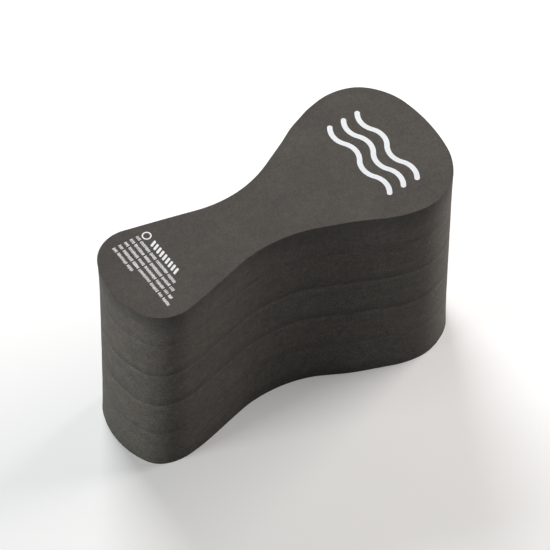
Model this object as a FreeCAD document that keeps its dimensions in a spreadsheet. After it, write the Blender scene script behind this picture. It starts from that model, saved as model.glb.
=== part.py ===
"""Pull buoy, the float a swimmer holds between the thighs.

Five sheets of closed-cell EVA foam are bonded into a block with four films of contact adhesive, and the
block is cut to an hourglass outline with a large and a small lobe. Two white marks are screen-printed on
the top sheet. Nothing on it moves.

Frame, in millimetres: +Z is the direction of the stack, +X the long axis towards the large lobe, and the
origin is the middle of the bottom face.
"""

import FreeCAD, Part
import math
import os

import Sketcher
from FreeCAD import Placement, Rotation, Vector

# Each driving dimension: alias, value in mm (or a plain count) and what it is.
DIMENSIONS = (
    ("overall_length", 237.0, "along X, from end to end"),
    ("sheet_count", 5, "sheets of foam in the stack"),
    ("sheet_thickness", 29.8, "one sheet of foam"),
    ("glue_thickness", 0.25, "one film of adhesive"),
    ("glue_inset", 0.5, "the film stops this far inside the cut wall"),
    ("large_lobe_width", 109.5, "widest place of the large lobe"),
    ("large_end_radius", 109.0, "flat curve across the large end"),
    ("large_corner_radius", 40.5, "shoulders of the large lobe"),
    ("small_lobe_width", 74.0, "widest place of the small lobe"),
    ("small_end_radius", 56.0, "flat curve across the small end"),
    ("small_corner_radius", 23.0, "shoulders of the small lobe"),
    ("waist_width", 45.4, "narrowest place, between the thighs"),
    ("waist_radius", 88.0, "hollow of the waist"),
    ("waist_offset", 20.8, "waist's distance from the middle, towards the small lobe"),
    ("outer_edge_radius", 0.8, "rounding of the top and bottom rims"),
    ("seam_edge_radius", 0.6, "rounding of the foam's edges at a glue line"),
    ("ink_thickness", 0.12, "screen-printed ink"),
    ("wave_count", 3, "strokes in the printed wave mark"),
    ("wave_humps", 4, "arcs in one wave stroke"),
    ("wave_radius", 13.6, "radius of a stroke's centre line"),
    ("wave_depth", 2.6, "height of one hump from the stroke's axis"),
    ("wave_stroke", 3.4, "width of a stroke"),
    ("wave_pitch", 10.5, "from one stroke to the next"),
    ("wave_first", 65.5, "X of the first stroke's axis"),
    ("notice_head_x", -77.0, "X of the heading's middle"),
    ("notice_head_height", 4.6, "height of the heading bar"),
    ("notice_head_length", 29.0, "length of the heading bar"),
    ("notice_head_gap", 2.0, "from the ring to the heading bar"),
    ("notice_start_y", 28.4, "Y where every printed line starts"),
    ("notice_ring_radius", 3.1, "small ring in front of the heading"),
    ("notice_ring_stroke", 0.9, "line width of the ring"),
    ("notice_line_count", 5, "lines of dashes under the heading"),
    ("notice_first_pitch", 5.4, "from the heading's middle to the first line's"),
    ("notice_line_pitch", 4.2, "from one line to the next"),
    ("notice_line_height", 2.0, "height of a dash"),
    ("notice_first_length", 45.5, "length of the first line"),
    ("notice_length_step", 3.6, "each line is this much longer than the one above"),
    ("notice_last_length", 21.5, "length of the last line"),
)

# The sheets of foam from the bottom up.
LAYER_NAMES = (
    "bottom_foam_layer",
    "lower_foam_layer",
    "middle_foam_layer",
    "upper_foam_layer",
    "top_foam_layer",
)

START, END, CENTRE = 1, 2, 3  # Sketcher's numbers for a curve's points
X_AXIS, Y_AXIS = -1, -2  # Sketcher's numbers for the sketch's own axes
ORIGIN = (X_AXIS, START)

# The dashes of a printed line, in heights of a dash: the shortest one, the count of lengths and the gap.
SHORTEST_DASH = 2
DASH_LENGTHS = 5
DASH_GAP = 0.6

STACK_PITCH = "(Dimensions.sheet_thickness + Dimensions.glue_thickness)"
STACK_TOP = "(Dimensions.sheet_count * Dimensions.sheet_thickness" \
            " + (Dimensions.sheet_count - 1) * Dimensions.glue_thickness)"


def add_dimensions(doc):
    """The spreadsheet that every size is bound to."""
    sheet = doc.addObject("Spreadsheet::Sheet", "Dimensions")
    for row, (alias, value, note) in enumerate(DIMENSIONS, start=1):
        sheet.set(f"A{row}", alias)
        sheet.set(f"B{row}", str(value))
        sheet.setAlias(f"B{row}", alias)
        sheet.set(f"C{row}", note)
    doc.recompute()
    return sheet


def stack_top(dim):
    return dim.sheet_count * dim.sheet_thickness + (dim.sheet_count - 1) * dim.glue_thickness


# ---------------------------------------------------------------- sketch helpers


def arc(centre, radius, start, end):
    """An arc that runs anticlockwise from one angle to the other, in radians."""
    return Part.ArcOfCircle(Part.Circle(centre, Vector(0, 0, 1), radius), start, end)


def on_circle(centre, radius, angle):
    return centre + Vector(math.cos(angle), math.sin(angle), 0) * radius


def new_body(doc, name):
    body = doc.addObject("PartDesign::Body", name)
    body.Label = name
    return body


def new_sketch(body, name):
    """A sketch on the body's own XY plane."""
    sketch = body.newObject("Sketcher::SketchObject", name)
    plane = next(f for f in body.Origin.OriginFeatures if f.Role == "XY_Plane")
    sketch.AttachmentSupport = (plane, [""])
    sketch.MapMode = "FlatFace"
    return sketch


def bind(sketch, name, expression, kind, *references):
    """A named dimension of the sketch, driven by an expression."""
    value = sketch.evalExpression(expression)
    index = sketch.addConstraint(Sketcher.Constraint(kind, *references, float(value)))
    sketch.renameConstraint(index, name)
    sketch.setExpression(f"Constraints.{name}", expression)


def join_tangent(sketch, loop):
    """Makes each curve of a closed loop run smoothly into the next. loop holds (curve, way in, way out)."""
    for (curve, _, leaves), (following, enters, _) in zip(loop, loop[1:] + loop[:1]):
        sketch.addConstraint(Sketcher.Constraint("Tangent", curve, leaves, following, enters))


def check_sketch(sketch):
    if sketch.solve() != 0 or not sketch.FullyConstrained:
        raise RuntimeError(f"sketch {sketch.Label} is not fully constrained")


def add_pad(body, sketch, height):
    pad = body.newObject("PartDesign::Pad", "Pad")
    pad.Profile = sketch
    pad.setExpression("Length", height)
    sketch.Visibility = False
    return pad


# ---------------------------------------------------------------- hourglass outline


def outline_start(dim, inset):
    """The twelve curves of the outline, anticlockwise from the large end, already in their places."""
    half_length = dim.overall_length / 2
    large_end = Vector(half_length - dim.large_end_radius, 0, 0)
    small_end = Vector(dim.small_end_radius - half_length, 0, 0)

    def shoulder(end, end_radius, radius, lobe_width, side):
        """Centre of a shoulder arc that touches the end arc from inside."""
        rise = lobe_width / 2 - radius
        run = math.sqrt((end_radius - radius) ** 2 - rise**2)
        return Vector(end.x + side * run, rise, 0)

    large = shoulder(large_end, dim.large_end_radius, dim.large_corner_radius, dim.large_lobe_width, 1)
    small = shoulder(small_end, dim.small_end_radius, dim.small_corner_radius, dim.small_lobe_width, -1)
    waist = Vector(-dim.waist_offset, dim.waist_width / 2 + dim.waist_radius, 0)

    def flank_angle(corner, radius, turn):
        """Angle on a shoulder arc where the straight flank to the waist leaves it."""
        apart = waist - corner
        swing = math.acos((radius + dim.waist_radius) / apart.Length)
        return math.atan2(apart.y, apart.x) + turn * swing

    large_rim = math.atan2(large.y, large.x - large_end.x)
    small_rim = math.atan2(small.y, small.x - small_end.x)
    large_flank = flank_angle(large, dim.large_corner_radius, -1)
    small_flank = flank_angle(small, dim.small_corner_radius, 1)

    large_radius = dim.large_corner_radius - inset
    small_radius = dim.small_corner_radius - inset
    waist_radius = dim.waist_radius + inset
    large_flank_ends = (
        on_circle(large, large_radius, large_flank),
        on_circle(waist, waist_radius, large_flank + math.pi),
    )
    small_flank_ends = (
        on_circle(waist, waist_radius, small_flank + math.pi),
        on_circle(small, small_radius, small_flank),
    )

    def mirrored(point):
        return Vector(point.x, -point.y, point.z)

    return (
        arc(large_end, dim.large_end_radius - inset, -large_rim, large_rim),
        arc(large, large_radius, large_rim, large_flank),
        Part.LineSegment(*large_flank_ends),
        arc(waist, waist_radius, small_flank + math.pi, large_flank + math.pi),
        Part.LineSegment(*small_flank_ends),
        arc(small, small_radius, small_flank, small_rim),
        arc(small_end, dim.small_end_radius - inset, small_rim, -small_rim),
        arc(mirrored(small), small_radius, -small_rim, -small_flank),
        Part.LineSegment(*(mirrored(p) for p in reversed(small_flank_ends))),
        arc(mirrored(waist), waist_radius, -large_flank - math.pi, -small_flank - math.pi),
        Part.LineSegment(*(mirrored(p) for p in reversed(large_flank_ends))),
        arc(mirrored(large), large_radius, -large_flank, -large_rim),
    )


def outline_sketch(body, dim, inset="0"):
    """The fully constrained outline. inset is an expression: how far it lies inside the cut wall."""
    sketch = new_sketch(body, "Outline")
    curves = outline_start(dim, float(sketch.evalExpression(inset)))
    (
        large_end, large_left, flank_1, waist_left, flank_2, small_left,
        small_end, small_right, flank_3, waist_right, flank_4, large_right,
    ) = sketch.addGeometry(list(curves), False)

    hollow = (waist_left, waist_right)
    order = (
        large_end, large_left, flank_1, waist_left, flank_2, small_left,
        small_end, small_right, flank_3, waist_right, flank_4, large_right,
    )
    join_tangent(sketch, [(c, END, START) if c in hollow else (c, START, END) for c in order])

    for left, right in ((large_left, large_right), (small_left, small_right), (waist_left, waist_right)):
        sketch.addConstraint(Sketcher.Constraint("Equal", left, right))
    for end in (large_end, small_end):
        sketch.addConstraint(Sketcher.Constraint("PointOnObject", end, CENTRE, X_AXIS))

    bind(sketch, "large_end_radius", f"Dimensions.large_end_radius - {inset}", "Radius", large_end)
    bind(sketch, "large_corner_radius", f"Dimensions.large_corner_radius - {inset}", "Radius", large_left)
    bind(sketch, "small_end_radius", f"Dimensions.small_end_radius - {inset}", "Radius", small_end)
    bind(sketch, "small_corner_radius", f"Dimensions.small_corner_radius - {inset}", "Radius", small_left)
    bind(sketch, "waist_radius", f"Dimensions.waist_radius + {inset}", "Radius", waist_left)

    bind(sketch, "large_end_x", "Dimensions.overall_length / 2 - Dimensions.large_end_radius",
         "DistanceX", *ORIGIN, large_end, CENTRE)
    bind(sketch, "small_end_x", "Dimensions.overall_length / 2 - Dimensions.small_end_radius",
         "DistanceX", small_end, CENTRE, *ORIGIN)

    large_rise = "Dimensions.large_lobe_width / 2 - Dimensions.large_corner_radius"
    small_rise = "Dimensions.small_lobe_width / 2 - Dimensions.small_corner_radius"
    waist_rise = "Dimensions.waist_width / 2 + Dimensions.waist_radius"
    for name, expression, left, right in (
        ("large_corner", large_rise, large_left, large_right),
        ("small_corner", small_rise, small_left, small_right),
        ("waist", waist_rise, waist_left, waist_right),
    ):
        bind(sketch, f"{name}_left_y", expression, "DistanceY", *ORIGIN, left, CENTRE)
        bind(sketch, f"{name}_right_y", expression, "DistanceY", right, CENTRE, *ORIGIN)
    for name, curve in (("left", waist_left), ("right", waist_right)):
        bind(sketch, f"waist_{name}_x", "Dimensions.waist_offset", "DistanceX", curve, CENTRE, *ORIGIN)

    check_sketch(sketch)
    return sketch


# ---------------------------------------------------------------- foam and glue


def flat_face_name(shape, up):
    """Name of the shape's topmost (up) or bottommost flat face."""
    level = shape.BoundBox.ZMax if up else shape.BoundBox.ZMin
    for number, face in enumerate(shape.Faces, start=1):
        box = face.BoundBox
        if abs(box.ZMin - level) < 1e-6 and abs(box.ZMax - level) < 1e-6:
            return f"Face{number}"
    raise RuntimeError("the shape has no flat face there")


def round_rim(body, base, up, radius):
    """Rounds the whole rim of the top or bottom face."""
    rim = body.newObject("PartDesign::Fillet", "TopRim" if up else "BottomRim")
    rim.Base = (base, [flat_face_name(base.Shape, up)])
    rim.setExpression("Radius", radius)
    body.Document.recompute()
    return rim


def add_foam_layer(doc, dim, name, level):
    """One sheet of foam. Its rims are rounder on the outside of the block than at a glue line."""
    body = new_body(doc, name)
    pad = add_pad(body, outline_sketch(body, dim), "Dimensions.sheet_thickness")
    doc.recompute()
    top = level == int(dim.sheet_count) - 1
    lower = "Dimensions.outer_edge_radius" if level == 0 else "Dimensions.seam_edge_radius"
    upper = "Dimensions.outer_edge_radius" if top else "Dimensions.seam_edge_radius"
    rounded = round_rim(body, pad, False, lower)
    body.Tip = round_rim(body, rounded, True, upper)
    body.setExpression("Placement.Base.z", f"{level} * {STACK_PITCH}")
    return body


def add_glue_film(doc, dim, level):
    """The film of adhesive on top of the sheet at that level, a little inside the cut wall."""
    body = new_body(doc, f"glue_film_{level + 1}")
    add_pad(body, outline_sketch(body, dim, "Dimensions.glue_inset"), "Dimensions.glue_thickness")
    body.setExpression("Placement.Base.z", f"{level} * {STACK_PITCH} + Dimensions.sheet_thickness")
    return body


# ---------------------------------------------------------------- printed marks


def wave_sketch(body, dim):
    """One wave stroke along Y: a band of constant width whose centre line is a chain of equal arcs."""
    sketch = new_sketch(body, "WaveStroke")
    humps = int(dim.wave_humps)
    half_stroke = dim.wave_stroke / 2
    offset = dim.wave_radius - dim.wave_depth
    hump = 2 * math.sqrt(dim.wave_radius**2 - offset**2)
    swing = math.acos(offset / dim.wave_radius)
    first_y = -hump * (humps - 1) / 2

    outer, inner, centres = [], [], []
    for number in range(humps):
        bulges_right = number % 2 == 0
        facing = 0 if bulges_right else math.pi
        centre = Vector(-offset if bulges_right else offset, first_y + number * hump, 0)
        centres.append(centre)
        wide = arc(centre, dim.wave_radius + half_stroke, facing - swing, facing + swing)
        narrow = arc(centre, dim.wave_radius - half_stroke, facing - swing, facing + swing)
        outer.append(wide if bulges_right else narrow)
        inner.append(narrow if bulges_right else wide)
    right_side = sketch.addGeometry(outer, False)
    left_side = sketch.addGeometry(inner, False)

    first_end = Vector(0, first_y - hump / 2, 0)
    last_end = Vector(0, first_y + (humps - 0.5) * hump, 0)
    lean = swing if humps % 2 else -swing
    first_cap, last_cap = sketch.addGeometry(
        [
            arc(first_end, half_stroke, math.pi - swing, 2 * math.pi - swing),
            arc(last_end, half_stroke, lean, math.pi + lean),
        ],
        False,
    )

    def with_y(curves):
        """Way in and way out of each curve, walked towards +Y."""
        return [(c, START, END) if n % 2 == 0 else (c, END, START) for n, c in enumerate(curves)]

    def against_y(curves):
        return [(c, leaves, enters) for c, enters, leaves in reversed(with_y(curves))]

    loop = with_y(right_side) + [(last_cap, START, END)]
    loop += against_y(left_side) + [(first_cap, START, END)]
    join_tangent(sketch, loop)

    for number in range(humps):
        right, left = right_side[number], left_side[number]
        sketch.addConstraint(Sketcher.Constraint("Coincident", right, CENTRE, left, CENTRE))
        sign = "+" if number % 2 == 0 else "-"
        bind(sketch, f"hump_{number}_radius", f"Dimensions.wave_radius {sign} Dimensions.wave_stroke / 2",
             "Radius", right)
    bind(sketch, "inside_radius", "Dimensions.wave_radius - Dimensions.wave_stroke / 2",
         "Radius", left_side[0])

    depth = "Dimensions.wave_radius - Dimensions.wave_depth"
    for number, curve in enumerate(right_side):
        ends = (curve, CENTRE, *ORIGIN) if number % 2 == 0 else (*ORIGIN, curve, CENTRE)
        bind(sketch, f"hump_{number}_x", depth, "DistanceX", *ends)
    bind(sketch, "first_hump_y",
         f"(Dimensions.wave_humps - 1) * sqrt(Dimensions.wave_radius ^ 2 - ({depth}) ^ 2)",
         "DistanceY", right_side[0], CENTRE, *ORIGIN)
    for cap in (first_cap, last_cap):
        sketch.addConstraint(Sketcher.Constraint("PointOnObject", cap, CENTRE, Y_AXIS))
    check_sketch(sketch)
    return sketch


def add_wave_mark(doc, dim):
    """Three parallel wave strokes of ink, a plain water sign."""
    body = new_body(doc, "printed_wave_mark")
    body.AllowCompound = True
    sketch = wave_sketch(body, dim)
    stroke = add_pad(body, sketch, "Dimensions.ink_thickness")
    doc.recompute()
    waves = body.newObject("PartDesign::LinearPattern", "Waves")
    waves.Originals = [stroke]
    waves.Direction = (sketch, ["H_Axis"])
    waves.setExpression("Length", "Dimensions.wave_pitch * (Dimensions.wave_count - 1)")
    waves.setExpression("Occurrences", "Dimensions.wave_count")
    body.Tip = waves
    body.setExpression("Placement.Base.x", "Dimensions.wave_first")
    body.setExpression("Placement.Base.z", STACK_TOP)
    return body


def notice_dashes(length, height):
    """(start, length) of each dash of one printed line, shorter and longer dashes in turn."""
    dashes = []
    at = 0.0
    while at < length - height:
        heights_long = SHORTEST_DASH + (3 * len(dashes)) % DASH_LENGTHS
        dash = min(heights_long * height, length - at)
        dashes.append((at, dash))
        at += dash + DASH_GAP * height
    return dashes


def add_dash(doc, name, dim, x_middle, start, length, height):
    """One dash of ink. start is its distance along the line, which runs towards -Y."""
    dash = doc.addObject("Part::Box", name)
    dash.Width = length
    dash.setExpression("Length", height)
    dash.setExpression("Height", "Dimensions.ink_thickness")
    thickness_x = float(dash.evalExpression(height))
    dash.Placement = Placement(
        Vector(x_middle - thickness_x / 2, dim.notice_start_y - start - length, stack_top(dim)), Rotation()
    )
    return dash


def add_notice(doc, dim):
    """A block of plain marks in ink, with no lettering: a ring, a heading bar and lines of dashes."""
    pieces = []
    ring_outer = doc.addObject("Part::Cylinder", "notice_ring_outer")
    ring_hole = doc.addObject("Part::Cylinder", "notice_ring_hole")
    ring_outer.setExpression("Radius", "Dimensions.notice_ring_radius")
    ring_hole.setExpression("Radius", "Dimensions.notice_ring_radius - Dimensions.notice_ring_stroke")
    ring_middle = Vector(dim.notice_head_x, dim.notice_start_y - dim.notice_ring_radius, stack_top(dim))
    for cylinder in (ring_outer, ring_hole):
        cylinder.setExpression("Height", "Dimensions.ink_thickness")
        cylinder.Placement = Placement(ring_middle, Rotation())
    ring = doc.addObject("Part::Cut", "notice_ring")
    ring.Base, ring.Tool = ring_outer, ring_hole
    pieces.append(ring)

    head_start = 2 * dim.notice_ring_radius + dim.notice_head_gap
    pieces.append(add_dash(doc, "notice_head", dim, dim.notice_head_x, head_start, dim.notice_head_length,
                           "Dimensions.notice_head_height"))

    line_count = int(dim.notice_line_count)
    for line in range(line_count):
        x_middle = dim.notice_head_x - dim.notice_first_pitch - line * dim.notice_line_pitch
        length = dim.notice_first_length + line * dim.notice_length_step
        if line == line_count - 1:
            length = dim.notice_last_length
        for number, (start, dash) in enumerate(notice_dashes(length, dim.notice_line_height)):
            pieces.append(add_dash(doc, f"notice_{line}_{number}", dim, x_middle, start, dash,
                                   "Dimensions.notice_line_height"))

    notice = doc.addObject("Part::Compound", "printed_notice_lines")
    notice.Label = "printed_notice_lines"
    notice.Links = pieces
    return notice


# ---------------------------------------------------------------- whole float


def build():
    doc = FreeCAD.newDocument("pull_buoy")
    dim = add_dimensions(doc)
    if int(dim.sheet_count) != len(LAYER_NAMES):
        raise RuntimeError("each sheet of foam needs a name")
    parts = [add_foam_layer(doc, dim, name, level) for level, name in enumerate(LAYER_NAMES)]
    parts += [add_glue_film(doc, dim, level) for level in range(len(LAYER_NAMES) - 1)]
    parts += [add_wave_mark(doc, dim), add_notice(doc, dim)]
    doc.recompute()
    return doc, parts


def check(doc, parts):
    """Stops before anything is written if a feature failed or a piece isn't sound."""
    failed = [o.Label for o in doc.Objects if {"Invalid", "Error"} & set(o.State)]
    if failed:
        raise RuntimeError(f"failed: {failed}")
    for part in parts:
        shape = part.Shape
        if shape.isNull() or not shape.isValid() or not shape.Solids:
            raise RuntimeError(f"{part.Label} is not a valid solid")
        box = shape.BoundBox
        print(f"{part.Label}: {len(shape.Solids)} solids, {shape.Volume / 1000:.2f} cm3, "
              f"{box.XLength:.2f} x {box.YLength:.2f} x {box.ZLength:.2f}")


def export(parts):
    os.makedirs("parts", exist_ok=True)
    for part in parts:
        part.Shape.exportStep(f"parts/{part.Label}.step")


document, pieces = build()
check(document, pieces)
export(pieces)
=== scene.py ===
"""Looks of the pull buoy: five bonded sheets of charcoal EVA foam, cut to an hourglass, with white prints.

All in metres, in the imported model's frame: +X towards the large lobe, +Z up through the stack.
"""

import math

import bmesh
import bpy
import numpy as np
from mathutils import Matrix, Vector


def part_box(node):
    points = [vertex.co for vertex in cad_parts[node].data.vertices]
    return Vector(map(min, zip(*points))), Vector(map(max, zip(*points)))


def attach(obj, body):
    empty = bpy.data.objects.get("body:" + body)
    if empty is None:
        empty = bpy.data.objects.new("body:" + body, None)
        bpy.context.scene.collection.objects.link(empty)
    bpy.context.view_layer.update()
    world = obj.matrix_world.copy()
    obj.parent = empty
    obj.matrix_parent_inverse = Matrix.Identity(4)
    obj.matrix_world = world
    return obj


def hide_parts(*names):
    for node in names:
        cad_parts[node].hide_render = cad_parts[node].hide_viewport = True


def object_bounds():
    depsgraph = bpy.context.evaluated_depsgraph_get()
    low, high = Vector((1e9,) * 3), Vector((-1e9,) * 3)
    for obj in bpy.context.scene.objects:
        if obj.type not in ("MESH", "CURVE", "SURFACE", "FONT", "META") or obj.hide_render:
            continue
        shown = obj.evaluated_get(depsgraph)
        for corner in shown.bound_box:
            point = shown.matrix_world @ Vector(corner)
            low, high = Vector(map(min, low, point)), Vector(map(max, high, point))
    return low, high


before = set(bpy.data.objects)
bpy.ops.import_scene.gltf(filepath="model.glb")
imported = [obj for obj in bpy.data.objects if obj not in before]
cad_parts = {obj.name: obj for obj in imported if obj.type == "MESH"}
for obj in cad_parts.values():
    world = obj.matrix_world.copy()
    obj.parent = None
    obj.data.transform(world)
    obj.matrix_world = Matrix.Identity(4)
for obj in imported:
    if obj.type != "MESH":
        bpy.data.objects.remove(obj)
cad_low, cad_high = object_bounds()

MM = 0.001
SEED = 20

# The hourglass outline, with the design's radii and widths. Its length comes from the frame.
LARGE_END_RADIUS = 109.0 * MM
LARGE_CORNER_RADIUS = 40.5 * MM
LARGE_LOBE_WIDTH = 109.5 * MM
SMALL_END_RADIUS = 56.0 * MM
SMALL_CORNER_RADIUS = 23.0 * MM
SMALL_LOBE_WIDTH = 74.0 * MM
WAIST_RADIUS = 88.0 * MM
WAIST_WIDTH = 45.4 * MM
WAIST_X = -20.8 * MM

# The cut wall. Foam is squeezed as it is cut, so the wall springs back a little hollow from top to bottom,
# and each sheet swells a little between its glue lines.
TOP_FLARE = 0.45 * MM
SMALL_END_FLARE = 0.75 * MM
BOTTOM_FLARE = 0.5 * MM
TOP_FLARE_REACH = 12 * MM
BOTTOM_FLARE_REACH = 10 * MM
SEAM_DIP = 0.09 * MM
SEAM_DIP_REACH = 3.5 * MM
UNEVENNESS = 0.06 * MM
# Slow and quick unevenness of the wall: turns per round of the block and phase, in turns.
SLOW_WAVE = (3, 0.2)
QUICK_WAVE = (7, 0.6)
QUICK_WAVE_CLIMB = 30 * MM

# Where the knife wandered from the outline: X, side of the block (1 is +Y), reach along the cut, and how far
# out it went at the top face and at the bottom face.
CUT_WANDER = (
    (98 * MM, 1, 13 * MM, 0.9 * MM, 0.9 * MM),
    (68 * MM, 1, 9 * MM, -0.7 * MM, -0.7 * MM),
    (46 * MM, 1, 9 * MM, 0.8 * MM, 0.8 * MM),
    (-12 * MM, 1, 38 * MM, -1.1 * MM, -1.1 * MM),
    (103 * MM, -1, 8 * MM, 0.5 * MM, 0.4 * MM),
    (68 * MM, -1, 12 * MM, -1.2 * MM, -0.7 * MM),
    (34 * MM, -1, 17 * MM, -1.1 * MM, 1.3 * MM),
    (-16 * MM, -1, 20 * MM, 0.6 * MM, 0.2 * MM),
    (-95 * MM, -1, 14 * MM, -0.7 * MM, -2.0 * MM),
)
OUTER_RIM_RADIUS = 0.45 * MM
SEAM_RIM_RADIUS = 0.08 * MM
# The flat face's first row of points lies this many rim radii inside the wall.
FACE_EDGE_INSET = 2.5

# The top face, skived from the bun, is not quite flat.
TOP_RELIEF = 0.04 * MM
TOP_RELIEF_WAVES = 9
TOP_RELIEF_LONGEST = 60 * MM
TOP_RELIEF_SHORTEST = 25 * MM

# The glue films: how far their edge bulges out and how uneven it is along the seam.
GLUE_BULGE = 0.05 * MM
GLUE_UNEVENNESS = 0.04 * MM
GLUE_WAVES = 12
GLUE_WAVE_LONGEST = 0.08
GLUE_WAVE_SHORTEST = 0.012

OUTLINE_POINTS = 900
WALL_ROWS = 26
RIM_STEPS = 4
CAP_COLUMNS = 30

SHEETS = ("bottom_foam_layer", "lower_foam_layer", "middle_foam_layer", "upper_foam_layer", "top_foam_layer")
GLUE_FILMS = ("glue_film_1", "glue_film_2", "glue_film_3", "glue_film_4")

# Prints
INK_THICKNESS = 0.06 * MM
INK_DEPTH = 0.02 * MM
WAVE_COUNT = 3
WAVE_HUMPS = 4
WAVE_RADIUS = 13.6 * MM
WAVE_DEPTH = 2.6 * MM
WAVE_STROKE = 3.4 * MM
NOTICE_TILT = -1.4
NOTICE_RING_RADIUS = 3.1 * MM
NOTICE_RING_STROKE = 0.9 * MM
NOTICE_HEAD_GAP = 2.0 * MM
NOTICE_HEAD_LENGTH = 30.5 * MM
NOTICE_HEAD_HEIGHT = 4.6 * MM
NOTICE_HEAD_STRIPE = 1.9 * MM
NOTICE_HEAD_STRIPES = 9
NOTICE_LINES = 5
NOTICE_FIRST_PITCH = 5.4 * MM
NOTICE_LINE_PITCH = 4.2 * MM
NOTICE_DASH_HEIGHT = 2.0 * MM
NOTICE_FIRST_LENGTH = 45.5 * MM
NOTICE_LENGTH_STEP = 3.6 * MM
NOTICE_LAST_LENGTH = 21.5 * MM
SHORTEST_DASH = 2
DASH_LENGTHS = 5
DASH_GAP = 0.45
STROKE_PITCH = 0.92 * MM
STROKE_WIDTH = 0.52 * MM
# A stroke's clipped corner, in stroke widths; how far a heading stripe leans, in heights of the heading; and
# how unevenly the small strokes are printed: half heights in heights of a dash, and widths.
STROKE_CLIP = 0.25
NOTICE_HEAD_LEAN = 0.35
STROKE_HALF_HEIGHTS = (0.42, 0.60)
STROKE_WIDTHS = (0.85, 1.2)
HUMP_POINTS = 25
END_POINTS = 13
RING_POINTS = 40

# The view: azimuth 0 looks along +Y, and elevation is above the horizon.
VIEW_AZIMUTH = -35.47
VIEW_ELEVATION = 51.59
VIEW_ROLL = 0.63
VIEW_DISTANCE = 3.334
VIEW_LENS = 347.6
VIEW_AIM = Vector((3.3, 1.9, 2.7)) * MM

# Each light: name, azimuth where it stands (0 is +X, 90 is +Y), elevation, distance, side, watts and tint.
LIGHTS = (
    ("right_softbox", -5.0, 15.0, 1.8, 1.4, 52.0, (1.0, 0.93, 0.88)),
    ("left_softbox", 171.0, 10.0, 1.8, 0.6, 24.8, (0.95, 1.0, 0.97)),
    ("back_softbox", 75.0, 36.0, 1.8, 0.9, 29.5, (0.97, 0.98, 1.0)),
)
FLOOR_SIDE = 24.0
FLOOR_TONE = 0.8
FLOOR_GLOW = 0.25
WORLD_STRENGTH = 0.0


# ---------------------------------------------------------------- outline


def arc_points(centre, radius, start, end, step=0.2 * MM):
    count = max(3, int(abs(end - start) * radius / step))
    angles = np.linspace(start, end, count)
    return centre + radius * np.stack([np.cos(angles), np.sin(angles)], axis=1)


def half_outline():
    """Dense points from the middle of the large end, past +Y, to the middle of the small end."""
    large_end = np.array([cad_high.x - LARGE_END_RADIUS, 0.0])
    small_end = np.array([cad_low.x + SMALL_END_RADIUS, 0.0])
    waist = np.array([WAIST_X, WAIST_WIDTH / 2 + WAIST_RADIUS])

    def corner(end, end_radius, radius, lobe_width, side):
        rise = lobe_width / 2 - radius
        run = math.sqrt((end_radius - radius) ** 2 - rise**2)
        return np.array([end[0] + side * run, rise])

    large = corner(large_end, LARGE_END_RADIUS, LARGE_CORNER_RADIUS, LARGE_LOBE_WIDTH, 1)
    small = corner(small_end, SMALL_END_RADIUS, SMALL_CORNER_RADIUS, SMALL_LOBE_WIDTH, -1)

    def flank_angle(centre, radius, turn):
        """Angle on a corner arc where the straight flank towards the waist leaves it."""
        apart = waist - centre
        swing = math.acos((radius + WAIST_RADIUS) / np.hypot(*apart))
        return math.atan2(apart[1], apart[0]) + turn * swing

    large_rim = math.atan2(large[1], large[0] - large_end[0])
    small_rim = math.atan2(small[1], small[0] - small_end[0])
    large_flank = flank_angle(large, LARGE_CORNER_RADIUS, -1)
    small_flank = flank_angle(small, SMALL_CORNER_RADIUS, 1)
    return np.vstack([
        arc_points(large_end, LARGE_END_RADIUS, 0.0, large_rim),
        arc_points(large, LARGE_CORNER_RADIUS, large_rim, large_flank),
        arc_points(waist, WAIST_RADIUS, large_flank + math.pi, small_flank + math.pi),
        arc_points(small, SMALL_CORNER_RADIUS, small_flank, small_rim),
        arc_points(small_end, SMALL_END_RADIUS, small_rim, math.pi),
    ])


def outline(count):
    """(points, outward normals) of the whole outline, evenly spaced. Point i mirrors point count - i."""
    half = half_outline()
    along = np.concatenate([[0.0], np.cumsum(np.hypot(*np.diff(half, axis=0).T))])
    even = np.linspace(0.0, along[-1], count // 2 + 1)
    upper = np.stack([np.interp(even, along, half[:, k]) for k in (0, 1)], axis=1)
    points = np.vstack([upper, upper[-2:0:-1] * (1, -1)])
    tangents = np.roll(points, -1, axis=0) - np.roll(points, 1, axis=0)
    tangents /= np.hypot(*tangents.T)[:, None]
    return points, np.stack([tangents[:, 1], -tangents[:, 0]], axis=1)


OUTLINE, NORMALS = outline(OUTLINE_POINTS)
TURN = np.arange(OUTLINE_POINTS) / OUTLINE_POINTS


# ---------------------------------------------------------------- foam surfaces


def waves(seed, count, *directions):
    """A smooth repeatable unevenness, from -1 to 1: a sum of sines along the given coordinates."""
    random = np.random.default_rng(seed)
    total = 0.0
    for _ in range(count):
        phase = random.uniform(0, 2 * math.pi)
        for values, longest, shortest in directions:
            phase = phase + values * 2 * math.pi / random.uniform(shortest, longest) * random.choice((-1, 1))
        total = total + np.sin(phase)
    return total / count


def cut_wander(share_up):
    """How far the cut lies outside the outline, from the bottom face (0) to the top face (1)."""
    perimeter = np.hypot(*np.diff(OUTLINE, axis=0, append=OUTLINE[:1]).T).sum()
    total = np.zeros(OUTLINE_POINTS)
    for x, side, reach, at_top, at_bottom in CUT_WANDER:
        on_side = np.where(OUTLINE[:, 1] * side > 0)[0]
        nearest = on_side[np.abs(OUTLINE[on_side, 0] - x).argmin()]
        apart = np.abs(TURN - TURN[nearest])
        apart = np.minimum(apart, 1 - apart) * perimeter
        total += (at_bottom + (at_top - at_bottom) * share_up) * np.exp(-((apart / reach) ** 2))
    return total


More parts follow.
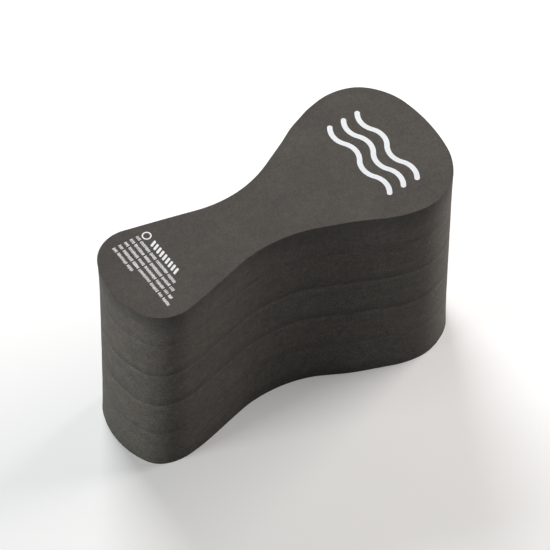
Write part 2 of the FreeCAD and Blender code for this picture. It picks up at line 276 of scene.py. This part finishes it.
def wall_inset(z):
    """How far the cut wall lies inside the outline at height z, at every point of the outline."""
    towards_small_end = np.clip(-OUTLINE[:, 0] / cad_high.x, 0, 1) ** 2
    top = (TOP_FLARE + SMALL_END_FLARE * towards_small_end) * math.exp(-(cad_high.z - z) / TOP_FLARE_REACH)
    bottom = BOTTOM_FLARE * math.exp(-(z - cad_low.z) / BOTTOM_FLARE_REACH)
    slow_turns, slow_phase = SLOW_WAVE
    quick_turns, quick_phase = QUICK_WAVE
    lobes = (np.sin(2 * math.pi * (slow_turns * TURN + slow_phase))
             + np.sin(2 * math.pi * (quick_turns * TURN + quick_phase) + z / QUICK_WAVE_CLIMB))
    wander = cut_wander((z - cad_low.z) / (cad_high.z - cad_low.z))
    return UNEVENNESS * lobes - top - bottom - wander


def top_relief(x, y):
    """Height of the skived top face above the frame's top, over the plan."""
    reach = (TOP_RELIEF_LONGEST, TOP_RELIEF_SHORTEST)
    return TOP_RELIEF * waves(SEED, TOP_RELIEF_WAVES, (x, *reach), (y, *reach)) - TOP_RELIEF


def seam_dip(z, low, high, at_low, at_high):
    """How far a sheet's wall dips towards its glue lines."""
    dip = 0.0
    if at_low:
        dip += SEAM_DIP * math.exp(-(z - low) / SEAM_DIP_REACH)
    if at_high:
        dip += SEAM_DIP * math.exp(-(high - z) / SEAM_DIP_REACH)
    return dip


def ring(inset, z):
    """One closed row of points round the block, inset from the outline."""
    plan = OUTLINE - NORMALS * np.asarray(inset).reshape(-1, 1)
    return np.column_stack([plan, np.full(OUTLINE_POINTS, z)])


def sheet_rings(low, high, at_low, at_high):
    """The rows of one sheet's surface, from the edge of its top face down to the edge of its bottom face."""
    radius_high = SEAM_RIM_RADIUS if at_high else OUTER_RIM_RADIUS
    radius_low = SEAM_RIM_RADIUS if at_low else OUTER_RIM_RADIUS

    def row(inset, z):
        return ring(wall_inset(z) + seam_dip(z, low, high, at_low, at_high) + inset, z)

    rows = [row(radius_high * FACE_EDGE_INSET, high)]
    for angle in np.linspace(math.pi / 2, 0, RIM_STEPS + 1)[:-1]:
        rows.append(row(radius_high * (1 - math.cos(angle)), high - radius_high * (1 - math.sin(angle))))
    spread = (1 - np.cos(np.linspace(0, math.pi, WALL_ROWS))) / 2
    for share in spread:
        rows.append(row(0.0, high - radius_high - share * (high - low - radius_high - radius_low)))
    for angle in np.linspace(0, math.pi / 2, RIM_STEPS + 1)[1:]:
        rows.append(row(radius_low * (1 - math.cos(angle)), low + radius_low * (1 - math.sin(angle))))
    rows.append(row(radius_low * FACE_EDGE_INSET, low))
    return rows


def cap(vertices, faces, first, up, relief=None):
    """Fills a ring of vertices with rows that run straight across, from each point to its mirror point."""
    half = OUTLINE_POINTS // 2
    rows = [[first]]
    for i in range(1, half):
        left, right = vertices[first + i], vertices[first + OUTLINE_POINTS - i]
        inner = [left + (right - left) * k / CAP_COLUMNS for k in range(1, CAP_COLUMNS)]
        added = range(len(vertices), len(vertices) + len(inner))
        rows.append([first + i, *added, first + OUTLINE_POINTS - i])
        vertices.extend(inner)
    rows.append([first + half])
    for before, after in zip(rows, rows[1:]):
        if len(before) == 1 or len(after) == 1:
            tip, base = (before[0], after) if len(before) == 1 else (after[0], before[::-1])
            made = [(tip, a, b) for a, b in zip(base, base[1:])]
        else:
            made = [(a, c, d, b) for a, b, c, d in zip(before, before[1:], after, after[1:])]
        faces.extend(made if up else [face[::-1] for face in made])
    if relief is not None:
        for i in [first + k for k in range(OUTLINE_POINTS)] + [i for r in rows for i in r[1:-1]]:
            x, y, z = vertices[i]
            vertices[i] = np.array([x, y, z + relief(x, y)])


def mesh_object(name, vertices, faces, smooth=True):
    mesh = bpy.data.meshes.new(name)
    mesh.from_pydata([tuple(v) for v in vertices], [], faces)
    mesh.validate()
    made = bpy.data.objects.new(name, mesh)
    bpy.context.scene.collection.objects.link(made)
    if smooth:
        mesh.shade_smooth()
    return made


def stack_object(name, rows, relief=None):
    """A closed piece from rows of points round the block, capped at its top and bottom."""
    vertices = [point for row in rows for point in row]
    faces = []
    for k in range(len(rows) - 1):
        upper, lower = k * OUTLINE_POINTS, (k + 1) * OUTLINE_POINTS
        for i in range(OUTLINE_POINTS):
            j = (i + 1) % OUTLINE_POINTS
            faces.append((upper + i, lower + i, lower + j, upper + j))
    cap(vertices, faces, 0, True, relief)
    cap(vertices, faces, (len(rows) - 1) * OUTLINE_POINTS, False)
    return mesh_object(name, vertices, faces)


def finish_piece(piece, node, material):
    piece.data.materials.append(material)
    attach(piece, "root")
    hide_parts(node)
    return piece


# ---------------------------------------------------------------- materials


# Noise lies mostly between these two values, so a tone runs through its range between them.
NOISE_LOW, NOISE_HIGH = 0.3, 0.7
# A surface counts as cut wall or as flat face by the upright part of its normal.
WALL_UPRIGHT, FACE_UPRIGHT = 0.3, 0.8
# Sizes of the foam's features, across.
CELL_SIZE = 0.42 * MM
SPECKLE_SIZE = 1.4 * MM
BLOTCH_SIZE = 5.0 * MM
MOTTLE_SIZE = 24 * MM
LAYER_SIZE = 30 * MM
LAYER_FLATTENING = 14.0
PINHOLE_SIZE = 3.6 * MM
PINHOLE_EDGE = (0.04, 0.10)
# Size of the waviness of the painted shade and highlight bands.
PAINTED_BAND_WAVINESS_SIZE = 35 * MM
SKIN_BUMP_SIZE = 4.0 * MM
SKIN_BUMP = 0.06 * MM
PORE_BUMP = 0.05 * MM
GLUE_SIZE = 9 * MM
GLUE_BREAK_SIZE = 2.2 * MM
GLUE_COLOUR = (0.118, 0.110, 0.100)
INK_GAP_SIZE = 0.7 * MM
INK_PATCH_SIZE = 6 * MM
INK_BUMP = 0.03 * MM
EMBLEM_INK_COLOUR = (0.86, 0.89, 0.92)
NOTICE_INK_COLOUR = (0.90, 0.90, 0.90)
FLOOR_PATCH_SIZE = 0.5


def add_node(tree, kind, inputs=None, **settings):
    """A node with its settings and inputs. An input is a number, a colour or another node's output."""
    made = tree.nodes.new(kind)
    for key, value in settings.items():
        setattr(made, key, value)
    for key, value in (inputs or {}).items():
        if isinstance(value, bpy.types.NodeSocket):
            tree.links.new(value, made.inputs[key])
        else:
            made.inputs[key].default_value = value
    return made


def new_material(name):
    """(material, its empty node tree, its shader's node)"""
    material = bpy.data.materials.new(name)
    material.use_nodes = True
    tree = material.node_tree
    return material, tree, tree.nodes["Principled BSDF"]


def object_coordinates(tree, offset=(0.0, 0.0, 0.0), scale=(1.0, 1.0, 1.0)):
    coordinates = add_node(tree, "ShaderNodeTexCoord")
    mapped = add_node(tree, "ShaderNodeMapping",
                      {"Vector": coordinates.outputs["Object"], "Location": offset, "Scale": scale})
    return mapped.outputs["Vector"]


def noise(tree, vector, size, detail=2.0, roughness=0.5):
    """Noise whose features are about size metres across, from 0 to 1."""
    made = add_node(tree, "ShaderNodeTexNoise",
                    {"Vector": vector, "Scale": 1 / size, "Detail": detail, "Roughness": roughness})
    return made.outputs["Fac"]


def cells(tree, vector, size):
    """Cells about size metres across: 0 in the middle of a cell, up to about 1 at its walls."""
    made = add_node(tree, "ShaderNodeTexVoronoi", {"Vector": vector, "Scale": 1 / size})
    return made.outputs["Distance"]


def math_node(tree, operation, first, second=0.0):
    return add_node(tree, "ShaderNodeMath", {0: first, 1: second}, operation=operation).outputs[0]


def between(tree, value, low, high, to_low=0.0, to_high=1.0, smooth=False):
    made = add_node(tree, "ShaderNodeMapRange",
                    {"Value": value, "From Min": low, "From Max": high, "To Min": to_low, "To Max": to_high},
                    interpolation_type="SMOOTHSTEP" if smooth else "LINEAR")
    return made.outputs["Result"]


def over_noise(tree, value, to_low, to_high):
    """The value, a noise, spread over a range."""
    return between(tree, value, NOISE_LOW, NOISE_HIGH, to_low, to_high)


def scaled_colour(tree, colour, factor):
    """The colour times a varying factor."""
    made = add_node(tree, "ShaderNodeVectorMath", {0: colour, "Scale": factor}, operation="SCALE")
    return made.outputs["Vector"]


def product(tree, *factors):
    total = factors[0]
    for factor in factors[1:]:
        total = math_node(tree, "MULTIPLY", total, factor)
    return total


def wall_share(tree):
    """1 on the cut walls and 0 on the flat faces."""
    normal = add_node(tree, "ShaderNodeNewGeometry").outputs["Normal"]
    upright = add_node(tree, "ShaderNodeSeparateXYZ", {"Vector": normal}).outputs["Z"]
    return between(tree, math_node(tree, "ABSOLUTE", upright), WALL_UPRIGHT, FACE_UPRIGHT, 1.0, 0.0)


def painted_wall_light_bands(tree, bands):
    """Painted shade and highlight on the wall by height. bands holds (from z, to z, tone at from, tone at
    to).
    """
    position = add_node(tree, "ShaderNodeTexCoord").outputs["Object"]
    waviness = noise(tree, position, PAINTED_BAND_WAVINESS_SIZE, 2.0)
    height = add_node(tree, "ShaderNodeSeparateXYZ", {"Vector": position}).outputs["Z"]
    height = math_node(tree, "ADD", height, over_noise(tree, waviness, -PAINTED_BAND_WANDER, PAINTED_BAND_WANDER))
    return product(tree, *(between(tree, height, *band, smooth=True) for band in bands))


def foam_material(name, colour, offset, bands):
    """Closed-cell foam: fine open cells, soft mottling, faint layers along the sheet and a few pinholes."""
    material, tree, shader = new_material(name)
    place = object_coordinates(tree, offset)
    along_sheet = object_coordinates(tree, offset, (1.0, 1.0, LAYER_FLATTENING))
    grain = cells(tree, place, CELL_SIZE)
    speckle = noise(tree, place, SPECKLE_SIZE, 3.0, 0.6)
    blotch = noise(tree, place, BLOTCH_SIZE, 2.0)
    mottle = noise(tree, place, MOTTLE_SIZE, 3.0)
    layers = noise(tree, along_sheet, LAYER_SIZE, 2.0)
    pinholes = cells(tree, place, PINHOLE_SIZE)

    on_wall = wall_share(tree)
    cell_tone = product(
        tree,
        between(tree, grain, 0.1, 0.8, 0.74, 1.20),
        over_noise(tree, speckle, 0.82, 1.18),
        over_noise(tree, blotch, 0.93, 1.07),
    )
    cell_tone = math_node(tree, "POWER", cell_tone, between(tree, on_wall, 0.0, 1.0, 1.0, CUT_GRAIN))
    tone = product(
        tree,
        cell_tone,
        over_noise(tree, mottle, 0.94, 1.06),
        over_noise(tree, layers, 0.95, 1.05),
        between(tree, pinholes, *PINHOLE_EDGE, 0.55, 1.0),
        # Painted shade and highlight bands by height, on the cut walls only.
        math_node(tree, "POWER", painted_wall_light_bands(tree, bands), on_wall),
        between(tree, on_wall, 0.0, 1.0, SKIN_TONE, CUT_TONE),
    )
    tree.links.new(scaled_colour(tree, colour, tone), shader.inputs["Base Color"])
    tree.links.new(over_noise(tree, speckle, 0.78, 0.9), shader.inputs["Roughness"])
    shader.inputs["Specular IOR Level"].default_value = 0.25

    dents = noise(tree, place, SKIN_BUMP_SIZE, 3.0)
    skin = add_node(tree, "ShaderNodeBump", {"Height": dents, "Distance": SKIN_BUMP, "Strength": 1.0})
    pores = add_node(tree, "ShaderNodeBump",
                     {"Height": product(tree, grain, between(tree, pinholes, *PINHOLE_EDGE, 0.0, 1.0)),
                      "Distance": PORE_BUMP, "Strength": 0.7, "Normal": skin.outputs["Normal"]})
    tree.links.new(pores.outputs["Normal"], shader.inputs["Normal"])
    return material


def glue_material():
    """Dried contact adhesive: slightly lighter and shinier than the foam, and uneven along the seam."""
    material, tree, shader = new_material("glue")
    place = object_coordinates(tree)
    amount = noise(tree, place, GLUE_SIZE, 3.0)
    breaks = noise(tree, place, GLUE_BREAK_SIZE)
    tone = product(tree, over_noise(tree, amount, 0.5, 1.35), over_noise(tree, breaks, 0.75, 1.25))
    tree.links.new(scaled_colour(tree, GLUE_COLOUR, tone), shader.inputs["Base Color"])
    tree.links.new(over_noise(tree, amount, 0.65, 0.45), shader.inputs["Roughness"])
    shader.inputs["Specular IOR Level"].default_value = 0.4
    return material


def ink_material(name, colour):
    """White screen-printing ink that bridges most of the foam's cells and leaves a few open."""
    material, tree, shader = new_material(name)
    place = object_coordinates(tree)
    grain = cells(tree, place, CELL_SIZE)
    cover = between(tree, noise(tree, place, INK_GAP_SIZE, 2.0), 0.22, 0.34)
    tone = product(tree, between(tree, cover, 0.0, 1.0, 0.55, 1.0),
                   over_noise(tree, noise(tree, place, INK_PATCH_SIZE), 0.97, 1.03))
    tree.links.new(scaled_colour(tree, colour, tone), shader.inputs["Base Color"])
    tree.links.new(between(tree, cover, 0.0, 1.0, 0.8, 0.5), shader.inputs["Roughness"])
    bump = add_node(tree, "ShaderNodeBump", {"Height": grain, "Distance": INK_BUMP, "Strength": 0.5})
    tree.links.new(bump.outputs["Normal"], shader.inputs["Normal"])
    return material


def floor_material():
    """A pale table that glows faintly, as for a product photograph."""
    material, tree, shader = new_material("floor")
    tone = over_noise(tree, noise(tree, object_coordinates(tree), FLOOR_PATCH_SIZE, 2.0), 0.99, 1.01)
    tree.links.new(scaled_colour(tree, (FLOOR_TONE,) * 3, tone), shader.inputs["Base Color"])
    shader.inputs["Roughness"].default_value = 0.9
    shader.inputs["Specular IOR Level"].default_value = 0.1
    shader.inputs["Emission Color"].default_value = (1.0, 1.0, 1.0, 1.0)
    shader.inputs["Emission Strength"].default_value = FLOOR_GLOW
    return material


# ---------------------------------------------------------------- foam and glue pieces


# Colour of each sheet from the bottom up: cut from different buns, so no two are quite alike.
SHEET_COLOURS = (
    (0.0752, 0.0700, 0.0616),
    (0.0776, 0.0706, 0.0620),
    (0.0756, 0.0704, 0.0619),
    (0.0778, 0.0706, 0.0621),
    (0.0780, 0.0706, 0.0632),
)
# How far apart in the foam's noise two sheets that follow each other are taken, in metres.
BUN_STEP = (0.31, 0.17, 0.23)
# The open cells of the cut walls look coarser than the skin of the flat faces, and darker.
CUT_GRAIN = 1.7
CUT_TONE = 0.82
SKIN_TONE = 1.06

# Painted shade and painted highlight on the cut walls: a wall is painted darker just above a seam and
# lighter just below it, as the shade and highlight of each sheet's swell between glue lines, more at some
# seams than at others (from the bottom up). The rims at the top and the bottom of the block are painted
# darker: painted shade under the top rim and near the floor.
# How far up and down the painted shade and highlight bands wander.
PAINTED_BAND_WANDER = 1.0 * MM
SEAM_PAINTED_SHADES = (0.88, 0.76, 0.76, 0.90)
SEAM_PAINTED_SHADE_REACH = 9 * MM
SEAM_PAINTED_HIGHLIGHTS = (1.05, 1.18, 1.18, 1.06)
SEAM_PAINTED_HIGHLIGHT_REACH = 4.5 * MM
TOP_RIM_PAINTED_SHADE = 0.64
TOP_RIM_PAINTED_SHADE_REACH = 22 * MM
BOTTOM_RIM_PAINTED_SHADE = 0.90
BOTTOM_RIM_PAINTED_SHADE_REACH = 12 * MM


def sheet_painted_light_bands(level, low, high):
    """The painted shade and highlight bands on the wall of the sheet at that level, counted from the bottom
    up.
    """
    if level < len(SHEETS) - 1:
        # Painted highlight on the wall just below the glue line above this sheet.
        upper = (high - SEAM_PAINTED_HIGHLIGHT_REACH, high, 1.0, SEAM_PAINTED_HIGHLIGHTS[level])
    else:
        # Painted shade under the top rim of the block.
        upper = (high - TOP_RIM_PAINTED_SHADE_REACH, high, 1.0, TOP_RIM_PAINTED_SHADE)
    if level > 0:
        # Painted shade on the wall just above the glue line below this sheet.
        lower = (low, low + SEAM_PAINTED_SHADE_REACH, SEAM_PAINTED_SHADES[level - 1], 1.0)
    else:
        # Painted shade on the bottom sheet's wall near the floor.
        lower = (low, low + BOTTOM_RIM_PAINTED_SHADE_REACH, BOTTOM_RIM_PAINTED_SHADE, 1.0)
    return upper, lower


def build_foam():
    for level, (node, colour) in enumerate(zip(SHEETS, SHEET_COLOURS)):
        low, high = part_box(node)
        rows = sheet_rings(low.z, high.z, level > 0, level < len(SHEETS) - 1)
        top = level == len(SHEETS) - 1
        piece = stack_object(f"foam_{node}", rows, top_relief if top else None)
        # Painted shade and highlight bands for this sheet's cut wall.
        bands = sheet_painted_light_bands(level, low.z, high.z)
        offset = tuple(step * level for step in BUN_STEP)
        material = foam_material(f"foam_{level + 1}", colour, offset, bands)
        finish_piece(piece, node, material)


def build_glue():
    material = glue_material()
    for number, node in enumerate(GLUE_FILMS):
        low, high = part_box(node)
        middle = (low.z + high.z) / 2
        squeeze = waves(SEED + number, GLUE_WAVES, (TURN, GLUE_WAVE_LONGEST, GLUE_WAVE_SHORTEST))
        depth = wall_inset(middle) + SEAM_DIP - GLUE_UNEVENNESS * squeeze
        rows = [ring(depth + GLUE_BULGE, high.z), ring(depth, middle), ring(depth + GLUE_BULGE, low.z)]
        finish_piece(stack_object(f"bond_{node}", rows), node, material)


# ---------------------------------------------------------------- prints


def ink_object(name, shapes):
    """Flat shapes of ink that follow the top face. Each shape is an outer loop and a list of holes."""
    drawing = bmesh.new()
    for outer, holes in shapes:
        edges = []
        for loop in [outer, *holes]:
            points = [drawing.verts.new((x, y, cad_high.z - MM)) for x, y in loop]
            edges += [drawing.edges.new((a, b)) for a, b in zip(points, points[1:] + points[:1])]
        bmesh.ops.triangle_fill(drawing, edges=edges, use_beauty=True, normal=(0, 0, 1))
    sides = bmesh.ops.extrude_face_region(drawing, geom=list(drawing.faces))
    raised = {v for v in sides["geom"] if isinstance(v, bmesh.types.BMVert)}
    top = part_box(SHEETS[-1])[1].z
    for vertex in drawing.verts:
        surface = top + float(top_relief(vertex.co.x, vertex.co.y))
        vertex.co.z = surface + (INK_THICKNESS if vertex in raised else -INK_DEPTH)
    bmesh.ops.recalc_face_normals(drawing, faces=drawing.faces)
    mesh = bpy.data.meshes.new(name)
    drawing.to_mesh(mesh)
    drawing.free()
    made = bpy.data.objects.new(name, mesh)
    bpy.context.scene.collection.objects.link(made)
    return made


def wave_stroke(x_axis, y_middle):
    """Outer loop of one stroke: two lines parallel to a chain of equal arcs, joined by round ends."""
    offset = WAVE_RADIUS - WAVE_DEPTH
    hump = 2 * math.sqrt(WAVE_RADIUS**2 - offset**2)
    swing = math.acos(offset / WAVE_RADIUS)
    centre_line, across = [], []
    for number in range(WAVE_HUMPS):
        side = 1 if number % 2 == 0 else -1
        y = y_middle + (number - (WAVE_HUMPS - 1) / 2) * hump
        for angle in np.linspace(-swing, swing, HUMP_POINTS)[:-1 if number < WAVE_HUMPS - 1 else None]:
            direction = np.array([side * math.cos(angle), math.sin(angle)])
            centre_line.append(np.array([x_axis - side * offset, y]) + WAVE_RADIUS * direction)
            across.append(side * direction)
    centre_line, across = np.array(centre_line), np.array(across)
    half = WAVE_STROKE / 2

    def round_end(middle, normal):
        """From the right-hand side round to the left-hand side of an end."""
        start = math.atan2(normal[1], normal[0])
        return [middle + half * np.array([math.cos(start + t), math.sin(start + t)])
                for t in np.linspace(0, math.pi, END_POINTS)[1:-1]]

    loop = list(centre_line + half * across)
    loop += round_end(centre_line[-1], across[-1])
    loop += list((centre_line - half * across)[::-1])
    loop += round_end(centre_line[0], -across[0])
    return loop


def build_wave_mark(material):
    low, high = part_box("printed_wave_mark")
    reach = WAVE_DEPTH + WAVE_STROKE / 2
    shapes = [(wave_stroke(x, (low.y + high.y) / 2), [])
              for x in np.linspace(low.x + reach, high.x - reach, WAVE_COUNT)]
    piece = ink_object("wave_mark", shapes)
    finish_piece(piece, "printed_wave_mark", material)


def stroke(x_low, x_high, y, width, lean=0.0):
    """A stroke of ink across a line, with clipped corners. y is its middle, and lean shifts its far end."""
    clip = STROKE_CLIP * width
    half = width / 2
    return [np.array(point) for point in (
        (x_low, y - half + clip), (x_low, y + half - clip), (x_low + clip, y + half),
        (x_high - clip, y + half + lean), (x_high, y + half - clip + lean), (x_high, y - half + clip + lean),
        (x_high - clip, y - half + lean), (x_low + clip, y - half),
    )]


def circle(x, y, radius):
    angles = np.linspace(0, 2 * math.pi, RING_POINTS, endpoint=False)
    return [np.array([x + radius * math.cos(a), y + radius * math.sin(a)]) for a in angles]


def dashes(length):
    """(start, length) of each dash of one line, shorter and longer ones in turn."""
    made = []
    at = 0.0
    while at < length - NOTICE_DASH_HEIGHT:
        heights_long = SHORTEST_DASH + (3 * len(made)) % DASH_LENGTHS
        dash = min(heights_long * NOTICE_DASH_HEIGHT, length - at)
        made.append((at, dash))
        at += dash + DASH_GAP * NOTICE_DASH_HEIGHT
    return made


def hatched_line(x, y_start, length, random):
    """One line of the notice: each dash is a row of plain strokes of uneven height, with no lettering."""
    loops = []
    for at, dash in dashes(length):
        count = round(dash / STROKE_PITCH)
        for number in range(count):
            y = y_start - at - (number + 0.5) * dash / count
            below, above = random.uniform(*STROKE_HALF_HEIGHTS, 2) * NOTICE_DASH_HEIGHT
            loops.append(stroke(x - below, x + above, y, STROKE_WIDTH * random.uniform(*STROKE_WIDTHS)))
    return loops


def build_notice(material):
    """A block of marks without lettering: a ring, a heading of slanted stripes and hatched lines."""
    low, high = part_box("printed_notice_lines")
    head_x = high.x - NOTICE_RING_RADIUS
    start_y = high.y
    random = np.random.default_rng(SEED)
    ring_y = start_y - NOTICE_RING_RADIUS
    shapes = [(circle(head_x, ring_y, NOTICE_RING_RADIUS),
               [circle(head_x, ring_y, NOTICE_RING_RADIUS - NOTICE_RING_STROKE)])]
    head_start = start_y - 2 * NOTICE_RING_RADIUS - NOTICE_HEAD_GAP
    lean = NOTICE_HEAD_HEIGHT * NOTICE_HEAD_LEAN
    step = (NOTICE_HEAD_LENGTH - lean) / NOTICE_HEAD_STRIPES
    for number in range(NOTICE_HEAD_STRIPES):
        y = head_start - lean - (number + 0.5) * step
        shapes.append((stroke(head_x - NOTICE_HEAD_HEIGHT / 2, head_x + NOTICE_HEAD_HEIGHT / 2, y,
                              NOTICE_HEAD_STRIPE, lean), []))
    for line in range(NOTICE_LINES):
        x = head_x - NOTICE_FIRST_PITCH - line * NOTICE_LINE_PITCH
        length = NOTICE_FIRST_LENGTH + line * NOTICE_LENGTH_STEP
        if line == NOTICE_LINES - 1:
            length = NOTICE_LAST_LENGTH
        shapes += [(loop, []) for loop in hatched_line(x, start_y, length, random)]
    middle = np.array([head_x, start_y])
    tilt = math.radians(NOTICE_TILT)
    turn = np.array([[math.cos(tilt), -math.sin(tilt)], [math.sin(tilt), math.cos(tilt)]])

    def turned(loop):
        return [middle + turn @ (point - middle) for point in loop]

    piece = ink_object("notice_marks", [(turned(outer), [turned(hole) for hole in holes])
                                        for outer, holes in shapes])
    finish_piece(piece, "printed_notice_lines", material)


# ---------------------------------------------------------------- stage


def build_floor():
    half = FLOOR_SIDE / 2
    corners = [(-half, -half, 0), (half, -half, 0), (half, half, 0), (-half, half, 0)]
    floor = mesh_object("floor", corners, [(0, 1, 2, 3)], smooth=False)
    floor.location.z = cad_low.z
    floor.data.materials.append(floor_material())


def direction(azimuth, elevation):
    """Unit vector towards a place at that azimuth, from +X towards +Y, and elevation, in degrees."""
    a, e = math.radians(azimuth), math.radians(elevation)
    return Vector((math.cos(e) * math.cos(a), math.cos(e) * math.sin(a), math.sin(e)))


def build_lights():
    centre = (cad_low + cad_high) / 2
    for name, azimuth, elevation, distance, side, power, tint in LIGHTS:
        data = bpy.data.lights.new(name, "AREA")
        data.size = side
        data.energy = power
        data.color = tint
        light = bpy.data.objects.new(name, data)
        towards = direction(azimuth, elevation)
        light.location = centre + towards * distance
        light.rotation_euler = towards.to_track_quat("Z", "Y").to_euler()
        bpy.context.scene.collection.objects.link(light)
    world = bpy.data.worlds.new("studio")
    world.use_nodes = True
    background = world.node_tree.nodes["Background"]
    background.inputs["Color"].default_value = (1.0, 1.0, 1.0, 1.0)
    background.inputs["Strength"].default_value = WORLD_STRENGTH
    bpy.context.scene.world = world


def build_camera():
    data = bpy.data.cameras.new("camera")
    data.lens = VIEW_LENS
    camera = bpy.data.objects.new("camera", data)
    back = direction(VIEW_AZIMUTH - 90, VIEW_ELEVATION)
    facing = back.to_track_quat("Z", "Y").to_matrix().to_4x4()
    place = (cad_low + cad_high) / 2 + VIEW_AIM + back * VIEW_DISTANCE
    roll = Matrix.Rotation(math.radians(VIEW_ROLL), 4, "Z")
    camera.matrix_world = Matrix.Translation(place) @ facing @ roll
    bpy.context.scene.collection.objects.link(camera)
    bpy.context.scene.camera = camera


bpy.context.scene.view_settings.view_transform = "Standard"
build_camera()
build_lights()
build_floor()
build_foam()
build_glue()
build_wave_mark(ink_material("emblem_ink", EMBLEM_INK_COLOUR))
build_notice(ink_material("notice_ink", NOTICE_INK_COLOUR))
